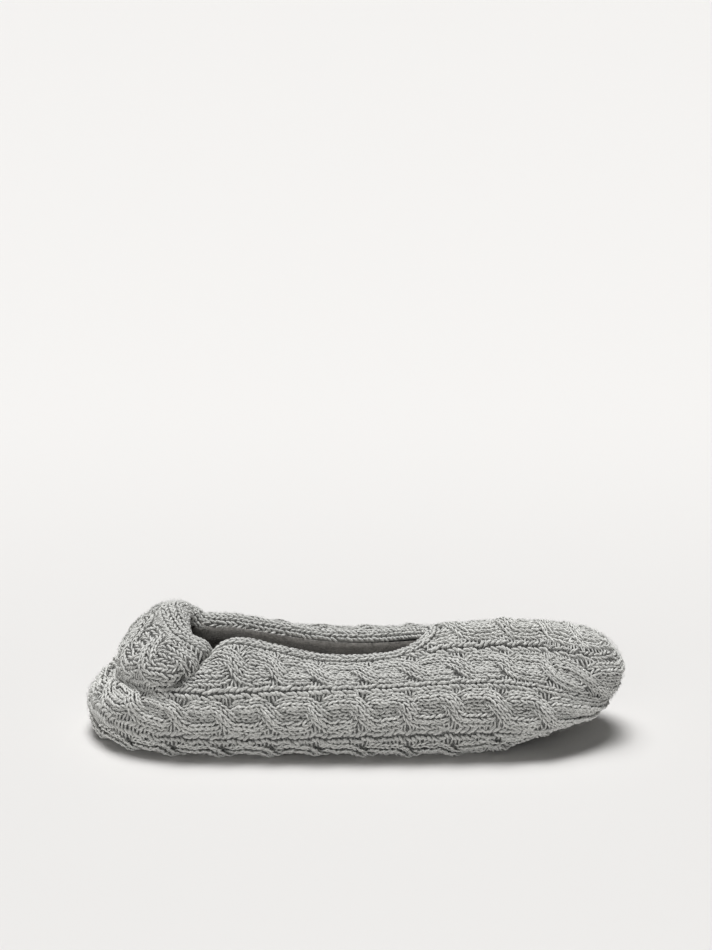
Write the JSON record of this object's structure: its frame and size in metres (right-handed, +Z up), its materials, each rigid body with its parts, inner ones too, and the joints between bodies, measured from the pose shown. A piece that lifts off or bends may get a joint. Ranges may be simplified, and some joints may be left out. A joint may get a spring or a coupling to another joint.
{
  "type": "knit slipper",
  "caption": "Low slipper with a cable-knit upper, a folded hem round its oval collar, a soft flat outsole with toe spring, and a thin insole.",
  "frame": {"origin": "on the floor below the middle of the slipper", "axes": "+X from heel to toe, +Y to the left seen from above with the toe ahead, +Z up"},
  "size_m": [0.2403, 0.0892, 0.0584],
  "materials": {
    "upper": "grey cable knit",
    "collar_hem": "grey plain knit",
    "outsole": "dark grey brushed cloth",
    "insole": "dark grey fleece"
  },
  "bodies": {
    "root": {"upper": "upper", "collar_hem": "collar_hem", "outsole": "outsole", "insole": "insole"}
  },
  "joints": []
}
